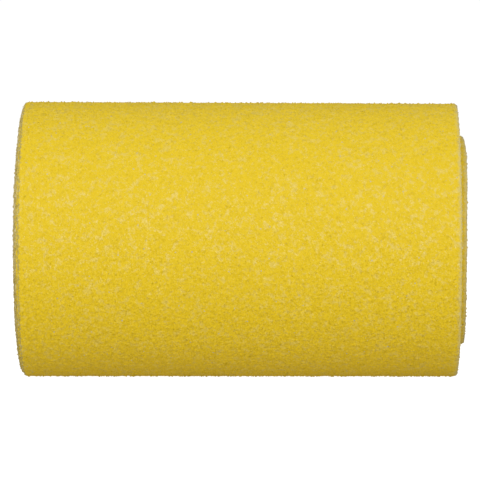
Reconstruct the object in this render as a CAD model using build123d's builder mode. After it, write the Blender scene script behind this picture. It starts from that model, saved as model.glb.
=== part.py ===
"""A roll of coated abrasive paper on a cardboard core, lying on its side.

Frame: +X along the roll's axis, +Z up, origin on the axis of the core's bore at the middle of the outer turns.
The strip is one piece of paper. It is divided here where it slips (eight groups of turns, which slide along
the axis one inside the other) and where it bends (its free tail, hinged in short segments).
Lengths are in millimetres and angles in degrees.
"""

from build123d import *
from math import cos, radians, sin
import os

# The strip
strip_width = 115.0
strip_thickness = 0.62
turn_gap = 0.10  # air between turns, which the grit's peaks hold apart
pitch = strip_thickness + turn_gap

# The core, and the tape that starts the strip on it
bore_radius = 12.7
core_wall = 1.3
core_length = 113.0
core_radius = bore_radius + core_wall
start_tape_thickness = 0.10
start_tape_angle = 50.0
start_tape_length = 100.0
first_turn_radius = core_radius + start_tape_thickness

# Groups of turns, counted from the outside in: the whole turns in each, and its slide along the axis
group_turns = [4, 4, 4, 4, 4, 4, 4, 3]
group_slides = [0.0, -1.3, -1.55, 1.7, 1.7, 1.7, 1.7, 1.7]
edge_groove_depth = 2.0  # the turns part this far in from each cut edge

# The free tail, which comes over the top and ends low at the back
tail_end_angle = -30.0  # from +Y towards +Z
tail_segments = 6
segment_angle = 16.0
tail_angle = tail_segments * segment_angle

# The tape that holds the tail's end down
end_tape_thickness = 0.15
end_tape_length = 60.0
end_tape_lift = 0.05  # clearance over the turn below
tape_angle_on_tail = 14.5
tape_angle_on_coil = 17.0
tape_step_angle = 3.0  # where it slopes down from the tail to the turn below

# The spiral is drawn as half turns whose centres lie this far from the axis, in line with the tail's end
centre_offset = pitch / 4


def section_plane(x):
    """The plane across the axis at x. Its own X axis points at the tail's end, and the strip winds clockwise."""
    towards_end = (0, cos(radians(tail_end_angle)), sin(radians(tail_end_angle)))
    return Plane(origin=(x, 0, 0), x_dir=towards_end, z_dir=(1, 0, 0))


def draw_half_turn(start_radius, half_turn):
    """Add one clockwise half turn of a spiral that starts at start_radius, numbered from 0, to the BuildLine."""
    side = 1 if half_turn % 2 == 0 else -1
    near = start_radius + half_turn * pitch / 2
    arc_radius = near + centre_offset
    start = (side * near, 0)
    middle = (-side * centre_offset, -side * arc_radius)
    end = (-side * (near + pitch / 2), 0)
    ThreePointArc(start, middle, end)


def draw_turn(start_radius):
    """Add one whole turn and the radial step that closes it to the BuildLine."""
    draw_half_turn(start_radius, 0)
    draw_half_turn(start_radius, 1)
    Line((start_radius + pitch, 0), (start_radius, 0))


def draw_ribbon(inner_radius, outer_radius, half_turns):
    """Add the outline of a spiral ribbon that starts between two radii to the BuildLine."""
    for start_radius in (inner_radius, outer_radius):
        for half_turn in range(half_turns):
            draw_half_turn(start_radius, half_turn)
    grown = half_turns * pitch / 2
    Line((inner_radius, 0), (outer_radius, 0))
    Line((inner_radius + grown, 0), (outer_radius + grown, 0))


def draw_sector(centre_x, inner_radius, outer_radius, from_angle, to_angle):
    """Add the outline of a ring's sector to the BuildLine. Angles run from the tail's end."""
    size = to_angle - from_angle
    inner = CenterArc((centre_x, 0), inner_radius, from_angle, size)
    outer = CenterArc((centre_x, 0), outer_radius, from_angle, size)
    Line(inner @ 0, outer @ 0)
    Line(inner @ 1, outer @ 1)


def save(part, name):
    """Label a finished piece and write it."""
    part.label = name
    export_step(part, f"parts/{name}.step")


def group_start_radius(group):
    """The paper side's radius where a group of turns, counted from the outside in, starts."""
    return first_turn_radius + sum(group_turns[group + 1 :]) * pitch


# The last turn's paper side on the tail's half turn, measured from that half turn's centre
last_turn_radius = group_start_radius(0) + (group_turns[0] - 1) * pitch
tail_inner_radius = last_turn_radius + pitch / 2 + centre_offset
tail_outer_radius = tail_inner_radius + strip_thickness
# The top of the turn below the tail's end, measured from the other half turn's centre
coil_radius = last_turn_radius + centre_offset + strip_thickness
tail_centre = centre_offset
coil_centre = -centre_offset


def make_turns(group):
    """A group of turns. They touch inside the group, and a spiral groove parts them at both cut edges."""
    start_radius = group_start_radius(group)
    more_turns = group_turns[group] - 1
    left = -strip_width / 2 + group_slides[group]
    right = left + strip_width
    with BuildPart() as turns:
        with BuildSketch(section_plane(left)):
            with BuildLine():
                draw_turn(start_radius + more_turns * pitch + strip_thickness)
            make_face()
            with BuildLine():
                draw_turn(start_radius)
            make_face(mode=Mode.SUBTRACT)
            if group == 0:
                with BuildLine():
                    draw_sector(
                        tail_centre, tail_inner_radius - turn_gap, tail_outer_radius + pitch, 0, tail_angle
                    )
                make_face(mode=Mode.SUBTRACT)
        extrude(amount=strip_width)
        for x, inward in ((left, 1), (right, -1)):
            with BuildSketch(section_plane(x)):
                with BuildLine():
                    draw_ribbon(start_radius + strip_thickness, start_radius + pitch, 2 * more_turns)
                make_face()
            extrude(amount=inward * edge_groove_depth, mode=Mode.SUBTRACT)
    save(turns.part, f"turns_{group + 1}")


def make_tail_segment(segment):
    """One segment of the tail, numbered from 0 at its root. It is hinged on the grit side."""
    to_angle = tail_angle - segment * segment_angle
    with BuildPart() as tail:
        with BuildSketch(section_plane(-strip_width / 2)):
            with BuildLine():
                draw_sector(
                    tail_centre, tail_inner_radius, tail_outer_radius, to_angle - segment_angle, to_angle
                )
            make_face()
        extrude(amount=strip_width)
    save(tail.part, f"tail_{segment + 1}")


def make_end_tape():
    """Tape stuck on the tail's last segment, sloping down its end onto the turn below."""
    low = coil_radius + end_tape_lift
    with BuildPart() as end_tape:
        with BuildSketch(section_plane(-end_tape_length / 2)):
            with BuildLine():
                on_tail = [
                    CenterArc((tail_centre, 0), radius, 0, tape_angle_on_tail)
                    for radius in (tail_outer_radius, tail_outer_radius + end_tape_thickness)
                ]
                on_coil = [
                    CenterArc((coil_centre, 0), radius, -tape_step_angle, tape_step_angle - tape_angle_on_coil)
                    for radius in (low, low + end_tape_thickness)
                ]
                for upper, lower in zip(on_tail, on_coil):
                    Line(upper @ 0, lower @ 0)
                Line(on_tail[0] @ 1, on_tail[1] @ 1)
                Line(on_coil[0] @ 1, on_coil[1] @ 1)
            make_face()
        extrude(amount=end_tape_length)
    save(end_tape.part, "end_tape")


def make_core_tube():
    """The cardboard tube that the strip is wound on."""
    with BuildPart() as core_tube:
        with BuildSketch(section_plane(group_slides[-1] - core_length / 2)):
            Circle(core_radius)
            Circle(bore_radius, mode=Mode.SUBTRACT)
        extrude(amount=core_length)
    save(core_tube.part, "core_tube")


def make_start_tape():
    """Double-sided tape between the core and the strip's first stretch."""
    with BuildPart() as start_tape:
        with BuildSketch(section_plane(group_slides[-1] - start_tape_length / 2)):
            with BuildLine():
                draw_sector(0, core_radius, first_turn_radius, -start_tape_angle, 0)
            make_face()
        extrude(amount=start_tape_length)
    save(start_tape.part, "start_tape")


os.makedirs("parts", exist_ok=True)
for group in range(len(group_turns)):
    make_turns(group)
for segment in range(tail_segments):
    make_tail_segment(segment)
make_end_tape()
make_core_tube()
make_start_tape()
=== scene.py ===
"""Looks of the abrasive paper roll: one strip of grit-coated paper wound on a cardboard core, and two tapes.

Lengths are in millimetres and angles in degrees, until place() and ring_point() turn them into the frame's
metres. A turn number says how far along the strip a point is, from 0 where it starts on the core to 31 at
its free end. Angles about the axis are from +Y towards +Z. The strip winds the other way, so it comes over
the top and ends low at the back.
"""

from math import cos, pi, radians, sin

import bpy
import numpy as np
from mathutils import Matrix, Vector


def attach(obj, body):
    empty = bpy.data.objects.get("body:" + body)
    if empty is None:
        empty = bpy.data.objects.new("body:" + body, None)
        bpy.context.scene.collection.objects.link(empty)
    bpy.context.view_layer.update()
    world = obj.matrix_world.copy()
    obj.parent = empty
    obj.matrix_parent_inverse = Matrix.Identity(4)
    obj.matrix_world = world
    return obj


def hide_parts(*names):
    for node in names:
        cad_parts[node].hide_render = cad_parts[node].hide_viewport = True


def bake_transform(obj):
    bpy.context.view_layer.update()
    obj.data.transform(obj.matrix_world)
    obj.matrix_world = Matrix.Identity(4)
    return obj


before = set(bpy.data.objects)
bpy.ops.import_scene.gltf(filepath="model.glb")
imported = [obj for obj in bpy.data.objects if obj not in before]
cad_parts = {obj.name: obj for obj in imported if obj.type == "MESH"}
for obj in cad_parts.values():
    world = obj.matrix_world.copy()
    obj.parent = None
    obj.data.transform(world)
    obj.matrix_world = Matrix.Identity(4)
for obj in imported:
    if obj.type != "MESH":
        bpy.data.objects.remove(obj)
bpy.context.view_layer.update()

MM = 0.001

# The strip and its winding, as in the CAD
HALF_WIDTH = 57.5
THICKNESS = 0.62
PAPER_THICKNESS = 0.30
PITCH = 0.72
FIRST_RADIUS = 14.1
TURNS = 31
END_ANGLE = -30.0
GROUP_ENDS = [3, 7, 11, 15, 19, 23, 27, 31]
GROUP_BODIES = ["core", "turns_7", "turns_6", "turns_5", "turns_4", "turns_3", "turns_2", "turns_1"]
GROUP_NODES = ["turns_8"] + GROUP_BODIES[1:]

# The turns up to the step are pushed out to the right
STEP_TURN = GROUP_ENDS[4]
INNER_SLIDE = 1.7

# The turns over the step drift to the left, fast just under the outermost one and then slowly, further in
DRIFT_START = 30.4
FAST_DRIFT, FAST_TURNS = 0.40, 0.6
SLOW_DRIFT, SLOW_TURNS = 1.37, 5.2

# The outermost turn's right edge is crooked low down
CROOKED = 0.21

# The outermost turn's top falls towards the right at this slope, and the turns below it less and less
TAPER = 0.0048
COIL_DEPTH = 22.5

# Between two groups the strip crosses over behind the roll, from the top to the bottom
CROSSING_BEFORE = 1 / 3
CROSSING_AFTER = 1 / 6

# The outermost turn's grid divides evenly into the tail's segments
GRID_ROWS = 810
GRID_COLUMNS = 401
TAIL_SEGMENTS = 6
SEGMENT_ROWS = 36

# Heights on the grit side, and the share of its grains that are tall
GRAINS, GRAIN_TIPS, CLUMPS = 0.26, 0.10, 0.30
TALL_SHARE, TALL_FROM, TALL_TO = 0.03, 0.12, 0.38
RESIN_DEPTH = 0.07

# Raggedness of the cut edges, and the chips in some of their rows
EDGE_ROW, EDGE_POINT = 0.08, 0.04
CHIP, CHIP_SHARE = 0.22, 0.07

# The strip in section: heights of the points down a cut edge, and places of those along the paper side
EDGE_LIFTS = np.array([0.34, 0.29, 0.15])
PAPER_COLUMNS = np.array([57.46, 57.0, 55.5, 51.0, 30.0, 10.0, -10.0, -30.0, -51.0, -55.5, -57.0, -57.46])

# Places in a strip piece's list of materials
GRIT_SIDE, CUT_EDGE, PAPER_SIDE = 0, 1, 2

# Distances between rows of grains, coarse where the turns are hidden
HIDDEN_SPACING, RIM_SPACING = 0.7, 0.35

# The end tape reaches from the tail to the turn below, and presses the grit down a little further
TAPE_HALF_LENGTH = 30
TAPE_ON_TAIL, TAPE_ON_COIL = 15.2, 17.6
PRESSED_ON_TAIL, PRESSED_ON_COIL = 15.5, 18

rng = np.random.default_rng(11)


def smoothstep(t):
    t = np.clip(t, 0, 1)
    return t * t * (3 - 2 * t)


# ---------------------------------------------------------------- the strip's shape


def angle_of(turn):
    """Angle of a place on the strip about the axis, in radians."""
    return np.radians(END_ANGLE) - 2 * pi * turn


def radius_of(turn):
    """Radius of the strip's paper side."""
    return FIRST_RADIUS + PITCH * turn


def arc_of(turn):
    """Length of the strip from its start."""
    return 2 * pi * (FIRST_RADIUS * turn + PITCH * turn**2 / 2)


def slide(turn, z):
    """How far the strip has slid along the axis at a turn number and a height.

    All turns under the outermost one wander and lean a little. Those pushed out make a dished disc,
    which lags at its top.
    """
    turn, z = np.broadcast_arrays(turn, z)
    under = np.clip(DRIFT_START - turn, 0, None)
    drift = -FAST_DRIFT * (1 - np.exp(-under / FAST_TURNS)) - SLOW_DRIFT * (1 - np.exp(-under / SLOW_TURNS))
    crossing = smoothstep((radius_of(STEP_TURN) - z) / (2 * radius_of(STEP_TURN)))
    pushed = np.where(turn < STEP_TURN - CROSSING_BEFORE, 1.0, 0.0)
    between = (turn >= STEP_TURN - CROSSING_BEFORE) & (turn <= STEP_TURN + CROSSING_AFTER)
    pushed = np.where(between, 1 - crossing, pushed)
    wander = 0.035 * np.sin(2.1 * turn + 1.0) + 0.025 * np.sin(5.3 * turn)
    leaning = 0.006 * z * (1 - np.exp(-under / 1.5))
    dish = -0.05 + 0.002 * z + 0.000625 * z**2
    lag_at_top = 0.62 * (np.clip(z - 20, 0, None) / 8) ** 2
    pushed_out = INNER_SLIDE + (dish - lag_at_top)
    return pushed * pushed_out + (1 - pushed) * drift + wander * np.clip(under, 0, 1) + leaning


def place(turn, across, lift):
    """Points of the strip in the frame, in metres."""
    angle, radius = angle_of(turn), radius_of(turn) + lift
    z = radius * np.sin(angle)
    crooked = CROOKED * smoothstep((-5 - z) / 25) * np.clip(across / HALF_WIDTH, 0, 1) * (turn > TURNS - 1.5)
    x = across + crooked + slide(turn, z)
    fall = -TAPER * x * (radius - FIRST_RADIUS) / COIL_DEPTH * smoothstep(z / 30)
    return np.stack([x, radius * np.cos(angle), z + fall], axis=-1) * MM


def edge_wear(across, reach):
    """0 in the middle of the strip, rising to 1 at its cut edges."""
    return np.clip((np.abs(across) - (HALF_WIDTH - reach)) / reach, 0, 1)


def blurred(field, passes):
    for _ in range(passes):
        for axis in (0, 1):
            padded = np.concatenate([field.take([0], axis), field, field.take([-1], axis)], axis)
            size = field.shape[axis]
            before, after = padded.take(range(size), axis), padded.take(range(2, size + 2), axis)
            field = (before + 2 * field + after) / 4
    return field


def grit_relief(shape, across):
    """Height of the grit side over the paper side: resin, close-set grains, and a few tall ones."""
    grains = blurred(rng.random(shape) - 0.5, 1) * GRAINS + (rng.random(shape) - 0.5) * GRAIN_TIPS
    tall = np.where(rng.random(shape) < TALL_SHARE, rng.uniform(TALL_FROM, TALL_TO, shape), 0)
    clumps = blurred(rng.random(shape) - 0.5, 8) * CLUMPS
    wear = edge_wear(across, 1.0)
    resin = THICKNESS - RESIN_DEPTH - 0.24 * (1 - np.sqrt(1 - wear**2))
    return resin + (grains + tall) * (1 - 0.5 * wear) + clumps


class Surface:
    """The uneven shape of a stretch of strip, by row along it and by column across it."""

    def __init__(self, turns, relief, across, ragged, end_normals=None):
        """turns has each row's turn number. ragged moves the three points down its right and left edges."""
        self.turns = turns
        self.relief = relief
        self.across = across
        self.ragged = ragged
        self.end_normals = end_normals

    def part(self, first, last):
        """The same surface from its first row to its last."""
        rows = slice(first, last + 1)
        end_normals = [self.normals(row) for row in (first, last)]
        relief, across, ragged = self.relief[rows], self.across[rows], self.ragged[rows]
        return Surface(self.turns[rows], relief, across, ragged, end_normals)

    def normals(self, row):
        """Directions that the grit side faces along a row."""
        near = np.clip([row - 1, row, row + 1], 0, len(self.turns) - 1)
        points = place(self.turns[near, None], self.across[near], self.relief[near])
        normals = np.cross(np.gradient(points[1], axis=0), points[2] - points[0])
        return normals / np.linalg.norm(normals, axis=1, keepdims=True)


def uneven_surface(turns, across):
    """A new surface, from the turn number of each row and the place of each column of the grit side."""
    rows = len(turns)
    shape = (rows, len(across))
    relief = grit_relief(shape, across)
    room = np.minimum(np.diff(across, prepend=across[0]), np.diff(across, append=across[-1]))
    moved_across = across + 0.28 * room * rng.uniform(-1, 1, shape)
    chips = rng.normal(0, EDGE_ROW, (rows, 2)) + CHIP * (rng.random((rows, 2)) < CHIP_SHARE)
    ragged = np.repeat(chips * [1, -1], 3, axis=1) + rng.normal(0, EDGE_POINT, (rows, 6))
    return Surface(turns, relief, moved_across, ragged)


# ---------------------------------------------------------------- meshes


def new_mesh(name, points, faces, caps, material_index, smooth, materials):
    """An object from a grid's points, its quads and its end caps."""
    mesh = bpy.data.meshes.new(name)
    loops = np.concatenate([faces.ravel()] + [np.asarray(cap) for cap in caps])
    sizes = np.concatenate([np.full(len(faces), 4), [len(cap) for cap in caps]]).astype(int)
    mesh.vertices.add(len(points))
    mesh.vertices.foreach_set("co", points.astype(np.float32).ravel())
    mesh.loops.add(len(loops))
    mesh.loops.foreach_set("vertex_index", loops.astype(np.int32))
    mesh.polygons.add(len(sizes))
    mesh.polygons.foreach_set("loop_start", np.concatenate([[0], np.cumsum(sizes)[:-1]]).astype(np.int32))
    mesh.polygons.foreach_set("material_index", np.asarray(material_index, np.int32))
    mesh.polygons.foreach_set("use_smooth", np.asarray(smooth, bool))
    for material in materials:
        mesh.materials.append(material)
    mesh.update(calc_edges=True)
    mesh.validate()
    obj = bpy.data.objects.new(name, mesh)
    bpy.context.scene.collection.objects.link(obj)
    return obj


def tube_faces(rows, around):
    """Quads of a grid of points that closes on itself along each row."""
    index = np.arange(rows * around).reshape(rows, around)
    following = np.roll(index, -1, axis=1)
    return np.stack([index[:-1], following[:-1], following[1:], index[1:]], axis=-1).reshape(-1, 4)


def set_coordinates(obj, coordinates):
    """Texture coordinates in millimetres, kept on the points."""
    attribute = obj.data.attributes.new("strip", "FLOAT_VECTOR", "POINT")
    attribute.data.foreach_set("vector", coordinates.astype(np.float32).ravel())


def join_shading(mesh, end_normals, rows, around, top):
    """Shade the first and the last row of the grit side as if the strip went on there.

    Anywhere else a normal of zero stands for the mesh's own.
    """
    wanted = np.zeros((rows + 2, around, 3))
    for row, normals in zip((1, rows), end_normals):
        wanted[row, 1 : top - 1] = normals[1:-1]
    vertex = np.empty(len(mesh.loops), np.int32)
    mesh.loops.foreach_get("vertex_index", vertex)
    by_corner = wanted.reshape(-1, 3)[vertex]
    in_rings = (np.arange(len(vertex)) < 4 * around) | (np.arange(len(vertex)) >= 4 * around * rows)
    by_corner[in_rings] = 0
    mesh.normals_split_custom_set(by_corner.tolist())


def with_end_rows(field):
    """The field with its first and its last row repeated."""
    return np.concatenate([field[:1], field, field[-1:]])


def strip_piece(name, surface, node):
    """A closed stretch of the strip: grit side, cut edges, paper side and end caps."""
    rows, top = surface.relief.shape
    right = HALF_WIDTH + surface.ragged[:, :3]
    left = -HALF_WIDTH + surface.ragged[:, 3:]
    paper_side = np.tile(PAPER_COLUMNS, (rows, 1))
    flat_lift = np.concatenate([EDGE_LIFTS, 0 * PAPER_COLUMNS, EDGE_LIFTS[::-1]])
    section_across = with_end_rows(np.concatenate([surface.across, right, paper_side, left], axis=1))
    section_lift = with_end_rows(np.concatenate([surface.relief, np.tile(flat_lift, (rows, 1))], axis=1))
    around = section_across.shape[1]
    section_turn = with_end_rows(np.repeat(surface.turns[:, None], around, axis=1))
    # each end closes with a narrow ring, which steps inwards, and a cap inside it
    for end in (0, -1):
        section_across[end] *= 0.998
        section_lift[end] = 0.08 + 0.25 * section_lift[end]
    points = place(section_turn, section_across, section_lift)
    column = np.arange(around)
    on_paper_side = (column >= top + 3) & (column < top + 2 + len(PAPER_COLUMNS))
    sides = np.where(column < top - 1, GRIT_SIDE, np.where(on_paper_side, PAPER_SIDE, CUT_EDGE))
    ring = np.full(around, CUT_EDGE)
    material_index = np.concatenate([ring, np.tile(sides, rows - 1), ring, [CUT_EDGE, CUT_EDGE]])
    obj = new_mesh(
        name,
        points.reshape(-1, 3),
        tube_faces(rows + 2, around),
        caps=[column[::-1], (rows + 1) * around + column],
        material_index=material_index,
        smooth=material_index != CUT_EDGE,
        materials=[grit_material, edge_material, backing_material],
    )
    if surface.end_normals:
        join_shading(obj.data, surface.end_normals, rows, around, top)
    set_coordinates(obj, np.stack([section_across, arc_of(section_turn), section_lift], axis=-1))
    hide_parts(node)
    return obj


# ---------------------------------------------------------------- materials


def new_material(name):
    material = bpy.data.materials.new(name)
    material.use_nodes = True
    tree = material.node_tree
    return material, tree, tree.nodes["Principled BSDF"]


def add(tree, kind, inputs=None, **settings):
    """A node with some of its inputs set to values or linked to sockets."""
    node = tree.nodes.new(kind)
    for key, value in settings.items():
        setattr(node, key, value)
    for key, value in (inputs or {}).items():
        if isinstance(value, bpy.types.NodeSocket):
            tree.links.new(value, node.inputs[key])
        else:
            node.inputs[key].default_value = value
    return node


def coordinates_of(tree):
    return add(tree, "ShaderNodeAttribute", attribute_name="strip").outputs["Vector"]


def stretched(tree, vector, scale):
    return add(tree, "ShaderNodeMapping", {"Vector": vector, "Scale": scale}).outputs["Vector"]


def noise(tree, vector, scale, detail=2.0, roughness=0.5, distortion=0.0):
    inputs = {
        "Vector": vector,
        "Scale": scale,
        "Detail": detail,
        "Roughness": roughness,
        "Distortion": distortion,
    }
    return add(tree, "ShaderNodeTexNoise", inputs).outputs["Fac"]


def cells(tree, vector, scale):
    return add(tree, "ShaderNodeTexVoronoi", {"Vector": vector, "Scale": scale})


def remap(tree, value, low, high, to_low=0.0, to_high=1.0, smooth=True):
    inputs = {"Value": value, "From Min": low, "From Max": high, "To Min": to_low, "To Max": to_high}
    kind = "SMOOTHSTEP" if smooth else "LINEAR"
    return add(tree, "ShaderNodeMapRange", inputs, interpolation_type=kind).outputs["Result"]


def maths(tree, operation, a, b):
    return add(tree, "ShaderNodeMath", {0: a, 1: b}, operation=operation).outputs["Value"]


def vectors(tree, operation, a, b=(0.0, 0.0, 0.0), scale=1.0):
    return add(tree, "ShaderNodeVectorMath", {0: a, 1: b, 3: scale}, operation=operation).outputs["Vector"]


def mix(tree, factor, a, b):
    """A mix of two colours, which the node has at its inputs 6 and 7 and at its output 2."""
    a, b = (colour if isinstance(colour, bpy.types.NodeSocket) else (*colour, 1.0) for colour in (a, b))
    return add(tree, "ShaderNodeMix", {0: factor, 6: a, 7: b}, data_type="RGBA").outputs[2]


def bump(tree, height, strength, distance_mm, normal=None):
    inputs = {"Height": height, "Strength": strength, "Distance": distance_mm * MM}
    if normal is not None:
        inputs["Normal"] = normal
    return add(tree, "ShaderNodeBump", inputs).outputs["Normal"]


def grit_colour(tree, vector, coat):
    """Grains of slightly different yellows, paler under the dry coat, and a few odd crystals."""
    grain = cells(tree, vector, 3.2)
    grain_tone = add(tree, "ShaderNodeSeparateColor", {"Color": grain.outputs["Color"]})
    colour = mix(tree, grain_tone.outputs["Red"], (0.893, 0.620, 0.006), (0.884, 0.636, 0.015))
    colour = mix(tree, coat, colour, (0.925, 0.685, 0.084))
    dark_grain = remap(tree, grain_tone.outputs["Green"], 0.95, 0.97, 0.0, 0.10)
    colour = mix(tree, dark_grain, colour, (0.50, 0.34, 0.03))
    crystal = remap(tree, grain_tone.outputs["Blue"], 0.9985, 0.999, 0.0, 0.75)
    return mix(tree, crystal, colour, (0.58, 0.57, 0.52))


def worn_and_shaded_borders(tree, vector, colour):
    """A colour, dusty along the strip's right edge and rubbed along its free end, and along its left edge an
    olive that is partly rubbed grit and partly painted shade.
    """
    place_on_strip = add(tree, "ShaderNodeSeparateXYZ", {"Vector": vector})
    frayed = remap(tree, noise(tree, vector, 1.3, 2.0), 0.3, 0.7, -0.28, 0.28)
    to_right = maths(tree, "ADD", frayed, place_on_strip.outputs["X"])
    dusty = remap(tree, to_right, HALF_WIDTH - 1.2, HALF_WIDTH + 0.2, 0.0, 0.8)
    colour = mix(tree, dusty, colour, (0.68, 0.58, 0.27))
    # The olive along the left edge is partly rubbed grit and partly painted shade of the stepped edges,
    # darker than the grit beside it.
    to_left = maths(tree, "SUBTRACT", frayed, place_on_strip.outputs["X"])
    rubbed_and_shaded = remap(tree, to_left, HALF_WIDTH - 0.5, HALF_WIDTH, 0.0, 0.85)
    colour = mix(tree, rubbed_and_shaded, colour, (0.52, 0.42, 0.12))
    to_end = maths(tree, "ADD", frayed, place_on_strip.outputs["Y"])
    worn_end = remap(tree, to_end, arc_of(TURNS) - 0.9, arc_of(TURNS), 0.0, 0.75)
    return mix(tree, worn_end, colour, (0.66, 0.57, 0.30))


def faceted_normal(tree, vector, scale, tilt):
    """The surface's normal, leaning another way on each grain."""
    from_middle = vectors(tree, "SUBTRACT", cells(tree, vector, scale).outputs["Color"], (0.5, 0.5, 0.5))
    lean = vectors(tree, "SCALE", from_middle, scale=tilt)
    normal = add(tree, "ShaderNodeNewGeometry").outputs["Normal"]
    return vectors(tree, "NORMALIZE", vectors(tree, "ADD", lean, normal))


def make_grit_material():
    """The grit side. Clumps and dust of the dry coat lie on it, and grains hold more or less of them."""
    material, tree, shader = new_material("coated_grit")
    vector = coordinates_of(tree)
    clumps = remap(tree, noise(tree, vector, 0.6, 4.0, 0.68, 0.4), 0.50, 0.65)
    dust = remap(tree, noise(tree, vector, 2.1, 2.0, 0.6), 0.58, 0.68)
    grain = cells(tree, vector, 3.6)
    grain_tone = add(tree, "ShaderNodeSeparateColor", {"Color": grain.outputs["Color"]})
    held_by_grain = remap(tree, grain_tone.outputs["Green"], 0.0, 1.0, 0.45, 1.55, smooth=False)
    coat = maths(tree, "MULTIPLY", maths(tree, "MAXIMUM", clumps, dust), held_by_grain)
    colour = worn_and_shaded_borders(tree, vector, grit_colour(tree, vector, coat))
    tree.links.new(colour, shader.inputs["Base Color"])
    facets = faceted_normal(tree, vector, 3.9, 0.72)
    tree.links.new(bump(tree, grain.outputs["Distance"], 0.3, 0.08, facets), shader.inputs["Normal"])
    tree.links.new(remap(tree, coat, 0.0, 1.0, 0.55, 0.37), shader.inputs["Roughness"])
    tree.links.new(remap(tree, coat, 0.0, 1.0, 0.30, 1.0), shader.inputs["Specular IOR Level"])
    return material


def make_edge_material():
    """The cut edge: cream paper below, sliced resin and grit above, with loose fibres."""
    material, tree, shader = new_material("cut_edge")
    vector = coordinates_of(tree)
    place_on_strip = add(tree, "ShaderNodeSeparateXYZ", {"Vector": vector})
    uneven = remap(tree, noise(tree, vector, 2.2, 2.0), 0.3, 0.7, -0.05, 0.05)
    height = maths(tree, "ADD", place_on_strip.outputs["Z"], uneven)
    grit_part = remap(tree, height, PAPER_THICKNESS - 0.01, PAPER_THICKNESS + 0.05)
    fibres = remap(tree, noise(tree, vector, 5.0, 3.0, 0.7), 0.35, 0.65)
    paper = mix(tree, fibres, (0.68, 0.59, 0.35), (0.79, 0.71, 0.48))
    grains = remap(tree, noise(tree, vector, 3.0, 2.0, 0.6), 0.40, 0.62)
    sliced = mix(tree, grains, (0.55, 0.42, 0.08), (0.74, 0.62, 0.28))
    tree.links.new(mix(tree, grit_part, paper, sliced), shader.inputs["Base Color"])
    tree.links.new(bump(tree, noise(tree, vector, 6.0, 3.0, 0.7), 0.5, 0.08), shader.inputs["Normal"])
    tree.links.new(remap(tree, fibres, 0.0, 1.0, 0.75, 0.95), shader.inputs["Roughness"])
    shader.inputs["Specular IOR Level"].default_value = 0.2
    return material


def make_backing_material():
    """The plain side: heavy cream paper with a faint mottle and fibres."""
    material, tree, shader = new_material("paper_backing")
    vector = coordinates_of(tree)
    along_strip = stretched(tree, vector, (1.0, 0.25, 1.0))
    mottle = remap(tree, noise(tree, vector, 0.35, 4.0, 0.6), 0.35, 0.65)
    fibres = remap(tree, noise(tree, along_strip, 3.5, 4.0, 0.75), 0.40, 0.62)
    colour = mix(tree, mottle, (0.66, 0.58, 0.40), (0.73, 0.66, 0.47))
    colour = mix(tree, maths(tree, "MULTIPLY", fibres, 0.35), colour, (0.80, 0.74, 0.58))
    tree.links.new(colour, shader.inputs["Base Color"])
    tree.links.new(bump(tree, fibres, 0.25, 0.05), shader.inputs["Normal"])
    tree.links.new(remap(tree, fibres, 0.0, 1.0, 0.70, 0.88), shader.inputs["Roughness"])
    shader.inputs["Specular IOR Level"].default_value = 0.3
    return material


def make_board_material():
    """Grey-brown board of the core, wound from plies."""
    material, tree, shader = new_material("core_board")
    vector = coordinates_of(tree)
    along_tube = stretched(tree, vector, (0.3, 1.0, 1.0))
    flecks = remap(tree, noise(tree, along_tube, 2.8, 4.0, 0.7), 0.35, 0.65)
    mottle = remap(tree, noise(tree, vector, 0.25, 3.0), 0.35, 0.65)
    colour = mix(tree, mottle, (0.33, 0.245, 0.15), (0.40, 0.31, 0.20))
    colour = mix(tree, maths(tree, "MULTIPLY", flecks, 0.4), colour, (0.50, 0.41, 0.29))
    place_on_tube = add(tree, "ShaderNodeSeparateXYZ", {"Vector": vector})
    ply = maths(tree, "PINGPONG", place_on_tube.outputs["Z"], 0.13)
    glue_line = remap(tree, ply, 0.0, 0.035, 0.45, 0.0)
    colour = mix(tree, glue_line, colour, (0.16, 0.11, 0.065))
    tree.links.new(colour, shader.inputs["Base Color"])
    tree.links.new(bump(tree, flecks, 0.35, 0.06), shader.inputs["Normal"])
    tree.links.new(remap(tree, flecks, 0.0, 1.0, 0.80, 0.95), shader.inputs["Roughness"])
    shader.inputs["Specular IOR Level"].default_value = 0.2
    return material


def make_tape_material(name, low, high, roughness):
    """Creped paper tape with a slight gloss."""
    material, tree, shader = new_material(name)
    vector = coordinates_of(tree)
    along_roll = stretched(tree, vector, (1.0, 0.18, 1.0))
    crepe = remap(tree, noise(tree, along_roll, 1.7, 3.0, 0.6, 0.3), 0.3, 0.7)
    mottle = remap(tree, noise(tree, vector, 0.3, 3.0), 0.35, 0.65)
    colour = mix(tree, maths(tree, "MULTIPLY", crepe, 0.6), low, high)
    colour = mix(tree, maths(tree, "MULTIPLY", mottle, 0.3), colour, low)
    tree.links.new(colour, shader.inputs["Base Color"])
    tree.links.new(bump(tree, crepe, 0.5, 0.08), shader.inputs["Normal"])
    tree.links.new(remap(tree, crepe, 0.0, 1.0, roughness, roughness + 0.15), shader.inputs["Roughness"])
    return material


grit_material = make_grit_material()
edge_material = make_edge_material()
backing_material = make_backing_material()
board_material = make_board_material()
end_tape_material = make_tape_material("crepe_tape", (0.60, 0.47, 0.25), (0.74, 0.62, 0.38), 0.5)
start_tape_material = make_tape_material("double_sided_tape", (0.62, 0.58, 0.46), (0.72, 0.68, 0.56), 0.35)


# ---------------------------------------------------------------- the strip, from the core outwards

edge_columns = np.array([57.5, 57.3, 57.0, 56.5, 55.6, 54.0])
middle_columns = [-40, -20, 0, 20, 40]
shown_columns = np.arange(HALF_WIDTH - 7.5, HALF_WIDTH - 0.2, 0.34)
plain_columns = np.concatenate([-edge_columns, middle_columns, edge_columns[::-1]])
rim_columns = np.concatenate([-edge_columns, middle_columns, shown_columns, [HALF_WIDTH]])


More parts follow.
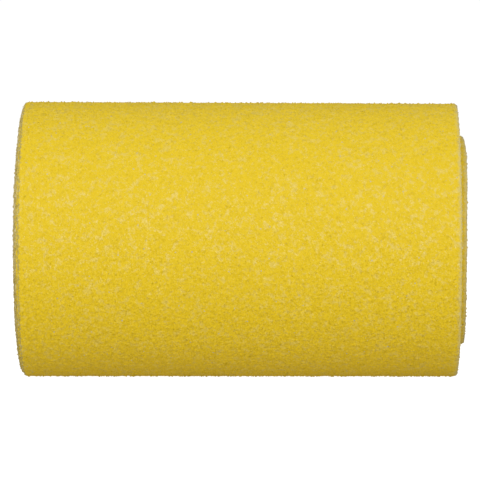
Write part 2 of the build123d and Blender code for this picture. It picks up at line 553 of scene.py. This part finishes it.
def wound_piece(name, start, end, spacing, across, node):
    """A stretch of strip between two turn numbers, with its rows of grains a given distance apart."""
    rows = int(round((arc_of(end) - arc_of(start)) / spacing)) + 1
    return strip_piece(name, uneven_surface(np.linspace(start, end, rows), across), node)


group_start = 0.0
for group, group_end in enumerate(GROUP_ENDS[:-1]):
    body, node = GROUP_BODIES[group], GROUP_NODES[group]
    crossing_start, crossing_end = group_end - CROSSING_BEFORE, group_end + CROSSING_AFTER
    inner = wound_piece(f"{node}_wound", group_start, group_end - 1, HIDDEN_SPACING, plain_columns, node)
    rim = wound_piece(f"{node}_rim", group_end - 1, crossing_start, RIM_SPACING, rim_columns, node)
    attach(inner, body)
    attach(rim, body)
    crossing = wound_piece(f"{node}_crossing", crossing_start, crossing_end, RIM_SPACING, rim_columns, node)
    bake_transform(crossing)
    group_start = crossing_end

# The outermost turn and the stretch that its tail covers, on one grid of grains
covered_rows = TAIL_SEGMENTS * SEGMENT_ROWS + SEGMENT_ROWS // 2
near_edge = HALF_WIDTH - 0.16
inner_columns = np.linspace(-near_edge, near_edge, GRID_COLUMNS - 2)
grid_across = np.concatenate([[-HALF_WIDTH], inner_columns, [HALF_WIDTH]])
grid_turns = (TURNS - 1) + np.arange(-covered_rows, GRID_ROWS + 1) / GRID_ROWS
grid = uneven_surface(grid_turns, grid_across)
tail_under_tape = grid_turns > TURNS - PRESSED_ON_TAIL / 360
coil_under_tape = np.abs(grid_turns - (TURNS - 1)) < PRESSED_ON_COIL / 360
pressed = (tail_under_tape | coil_under_tape)[:, None] & (np.abs(grid_across) < TAPE_HALF_LENGTH)
grid.relief = np.where(pressed, np.minimum(grid.relief, THICKNESS), grid.relief)


def grid_piece(name, first, last, node):
    """A stretch of the outermost grid, between two rows counted from the start of the outermost turn."""
    return strip_piece(name, grid.part(first + covered_rows, last + covered_rows), node)


covered_start = -covered_rows / GRID_ROWS + TURNS - 1
inner = wound_piece("turns_1_wound", group_start, covered_start, HIDDEN_SPACING, plain_columns, "turns_1")
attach(inner, "turns_1")
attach(grid_piece("turns_1_covered", -covered_rows, 0, "turns_1"), "turns_1")

skin_end = GRID_ROWS - covered_rows
for part in range(3):
    first, last = part * skin_end // 3, (part + 1) * skin_end // 3
    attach(grid_piece(f"turns_1_skin_{part + 1}", first, last, "turns_1"), "turns_1")


# Each bend runs from half a segment before a hinge to half a segment after it
for segment in range(TAIL_SEGMENTS):
    first = skin_end + segment * SEGMENT_ROWS
    last = first + SEGMENT_ROWS
    bend = grid_piece(f"tail_{segment + 1}_bend", first, last, f"tail_{segment + 1}")
    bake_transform(bend)
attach(grid_piece("tail_6_end", GRID_ROWS - SEGMENT_ROWS // 2, GRID_ROWS, "tail_6"), "tail_6")


# ---------------------------------------------------------------- core and tapes


def ring_point(x, radius, angle):
    """Points about the axis, in metres."""
    return np.stack([x, radius * np.cos(angle), radius * np.sin(angle)], axis=-1) * MM


def make_core_tube():
    """Spiral-wound tube. A seam winds along its bore, and its ends show the edges of the plies."""
    steps, inner, outer, half = 168, 12.7, 13.98, 56.5
    seam_lead, seam_height, seam_width = 58.0, 0.10, 0.5
    angle = np.linspace(0, 2 * pi, steps, endpoint=False)[:, None]
    bore_x = np.linspace(-half + 0.25, half - 0.25, 190)
    plies = np.linspace(inner + 0.12, outer - 0.12, 11)
    ply_step = 0.05 * (-1.0) ** np.arange(len(plies))
    x = np.concatenate([bore_x, half + ply_step, [half - 0.15, -half + 0.15], -half - ply_step[::-1]])
    radius = np.concatenate([np.full(len(bore_x), inner), plies, [outer, outer], plies[::-1]])
    x = np.repeat(x[None, :], steps, axis=0)
    radius = np.repeat(radius[None, :], steps, axis=0)
    from_seam = np.abs((x / seam_lead + angle / (2 * pi)) % 1.0 - 0.5) * seam_lead
    in_bore = np.arange(x.shape[1]) < len(bore_x)
    radius = radius + np.where(in_bore, seam_height * np.exp(-((from_seam / seam_width) ** 2)), 0)
    radius = radius + np.where(in_bore, 0.03, 0.015) * (rng.random(x.shape) - 0.5)
    x = x + np.where(in_bore, 0, 0.07) * (rng.random(x.shape) - 0.5)
    points = ring_point(x + INNER_SLIDE, radius, -angle)
    index = np.arange(x.size).reshape(x.shape)
    after, beside = np.roll(index, -1, axis=0), np.roll(index, -1, axis=1)
    both = np.roll(after, -1, axis=1)
    faces = np.stack([index, after, both, beside], axis=-1).reshape(-1, 4)
    obj = new_mesh(
        "core_tube_board",
        points.reshape(-1, 3),
        faces,
        caps=[],
        material_index=np.zeros(len(faces)),
        smooth=np.ones(len(faces)),
        materials=[board_material],
    )
    set_coordinates(obj, np.stack([x, inner * angle + 0 * x, radius - inner], axis=-1))
    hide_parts("core_tube")
    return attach(obj, "core")


def slab(name, upper, lower, coordinates, material):
    """A closed sheet between two grids of points."""
    rows, columns = upper.shape[:2]
    size = rows * columns
    points = np.concatenate([upper.reshape(-1, 3), lower.reshape(-1, 3)])
    index = np.arange(size).reshape(rows, columns)
    corners = [index[:-1, :-1], index[:-1, 1:], index[1:, 1:], index[1:, :-1]]
    quads = np.stack(corners, axis=-1).reshape(-1, 4)
    rim = np.concatenate([index[0, :-1], index[:-1, -1], index[-1, :0:-1], index[:0:-1, 0]])
    after = np.roll(rim, -1)
    walls = np.stack([rim, rim + size, after + size, after], axis=-1)
    faces = np.concatenate([quads, quads[:, ::-1] + size, walls])
    smooth = np.arange(len(faces)) < 2 * len(quads)
    obj = new_mesh(name, points, faces, [], np.zeros(len(faces)), smooth, [material])
    set_coordinates(obj, np.concatenate([coordinates, coordinates]).reshape(-1, 3))
    return obj


def make_end_tape():
    """Creped tape over the tail's end, half on the tail and half on the turn below, with torn ends."""
    gap_under, thickness = 0.03, 0.13
    slope_end, slope_length = -2.6, 2.8
    torn_width, mm_per_degree = 1.5, 0.64
    across = np.linspace(-TAPE_HALF_LENGTH, TAPE_HALF_LENGTH, 181)
    along = np.linspace(TAPE_ON_TAIL, -TAPE_ON_COIL, 66)
    along_grid, across_grid = np.meshgrid(along, across, indexing="ij")
    torn = blurred(rng.random(along_grid.shape) - 0.5, 1) * 1.6
    side = np.clip((np.abs(across_grid) - (TAPE_HALF_LENGTH - torn_width)) / torn_width, 0, 1)
    across_grid = across_grid + np.sign(across_grid) * side * torn
    on_tail = smoothstep((along_grid - slope_end) / slope_length)
    turn = TURNS - 1 - along_grid / 360 + on_tail
    ridges = blurred(rng.random((1, len(across))) - 0.5, 1) * 0.10
    crepe = ridges + blurred(rng.random(along_grid.shape) - 0.5, 1) * 0.05
    lift = THICKNESS + (gap_under + thickness) + crepe
    angle = np.radians(END_ANGLE + along_grid)
    radius = radius_of(turn) + lift
    upper = ring_point(across_grid, radius, angle)
    lower = ring_point(across_grid, radius - thickness, angle)
    coordinates = np.stack([across_grid, along_grid * mm_per_degree, lift], axis=-1)
    obj = slab("end_tape_crepe", upper, lower, coordinates, end_tape_material)
    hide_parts("end_tape")
    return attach(obj, "tail_6")


def make_start_tape():
    """Thin tape between the core and the strip's first stretch."""
    upper_radius, lower_radius, mm_per_degree = 14.085, 14.01, 0.25
    across = np.linspace(-50, 50, 51) + INNER_SLIDE
    along = np.linspace(0, -50, 40)
    along_grid, across_grid = np.meshgrid(along, across, indexing="ij")
    angle = np.radians(END_ANGLE + along_grid)
    upper = ring_point(across_grid, upper_radius + 0 * angle, angle)
    lower = ring_point(across_grid, lower_radius + 0 * angle, angle)
    coordinates = np.stack([across_grid, along_grid * mm_per_degree, 0 * angle], axis=-1)
    obj = slab("start_tape_film", upper, lower, coordinates, start_tape_material)
    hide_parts("start_tape")
    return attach(obj, "core")


make_core_tube()
make_end_tape()
make_start_tape()


# ---------------------------------------------------------------- floor, light and camera


def white_when_seen(tree, as_light, as_reflection):
    """A strength over 1 where it is seen, and others where it lights the object and where gloss shows it."""
    path = add(tree, "ShaderNodeLightPath")
    unseen = remap(tree, path.outputs["Is Glossy Ray"], 0.0, 1.0, as_light, as_reflection, smooth=False)
    seen = maths(tree, "MULTIPLY", path.outputs["Is Camera Ray"], 1.03)
    return maths(tree, "MAXIMUM", unseen, seen)


def make_floor():
    """A pale floor under the roll, white to the camera and slightly warm as light."""
    mesh = bpy.data.meshes.new("floor")
    size, height = 6.0, -36.6 * MM
    corners = [(-size, -size, height), (size, -size, height), (size, size, height), (-size, size, height)]
    mesh.from_pydata(corners, [], [(0, 1, 2, 3)])
    material, tree, shader = new_material("pale_floor")
    shader.inputs["Base Color"].default_value = (0.2, 0.2, 0.2, 1)
    shader.inputs["Specular IOR Level"].default_value = 0.0
    seen = add(tree, "ShaderNodeLightPath").outputs["Is Camera Ray"]
    tree.links.new(mix(tree, seen, (1.0, 0.95, 0.74), (1.0, 1.0, 1.0)), shader.inputs["Emission Color"])
    tree.links.new(white_when_seen(tree, 0.44, 0.05), shader.inputs["Emission Strength"])
    mesh.materials.append(material)
    floor = bpy.data.objects.new("floor", mesh)
    bpy.context.scene.collection.objects.link(floor)


def make_light():
    """A large soft light in front and a little above, and an even white surround."""
    world = bpy.data.worlds.new("surround")
    bpy.context.scene.world = world
    world.use_nodes = True
    tree = world.node_tree
    background = tree.nodes["Background"]
    background.inputs["Color"].default_value = (1, 1, 1, 1)
    tree.links.new(white_when_seen(tree, 0.705, 0.10), background.inputs["Strength"])
    data = bpy.data.lights.new("key", "SUN")
    data.energy = 1.24
    data.angle = radians(50)
    key = bpy.data.objects.new("key", data)
    elevation = radians(13)
    towards_light = Vector((0, -cos(elevation), sin(elevation)))
    key.rotation_euler = towards_light.to_track_quat("Z", "Y").to_euler()
    bpy.context.scene.collection.objects.link(key)


def make_camera():
    """A long lens in front, level with the roll's middle and half a degree to its right."""
    data = bpy.data.cameras.new("camera")
    data.sensor_width = 36.0
    data.lens = 291.0
    data.clip_start = 0.01
    camera = bpy.data.objects.new("camera", data)
    azimuth, distance = radians(0.56), 1.04
    target = Vector((-0.28, 0, 0.04)) * MM
    camera.location = Vector((distance * sin(azimuth), -distance * cos(azimuth), target.z))
    camera.rotation_euler = (target - camera.location).to_track_quat("-Z", "Y").to_euler()
    bpy.context.scene.collection.objects.link(camera)
    bpy.context.scene.camera = camera


make_floor()
make_light()
make_camera()
bpy.context.scene.view_settings.view_transform = "Standard"
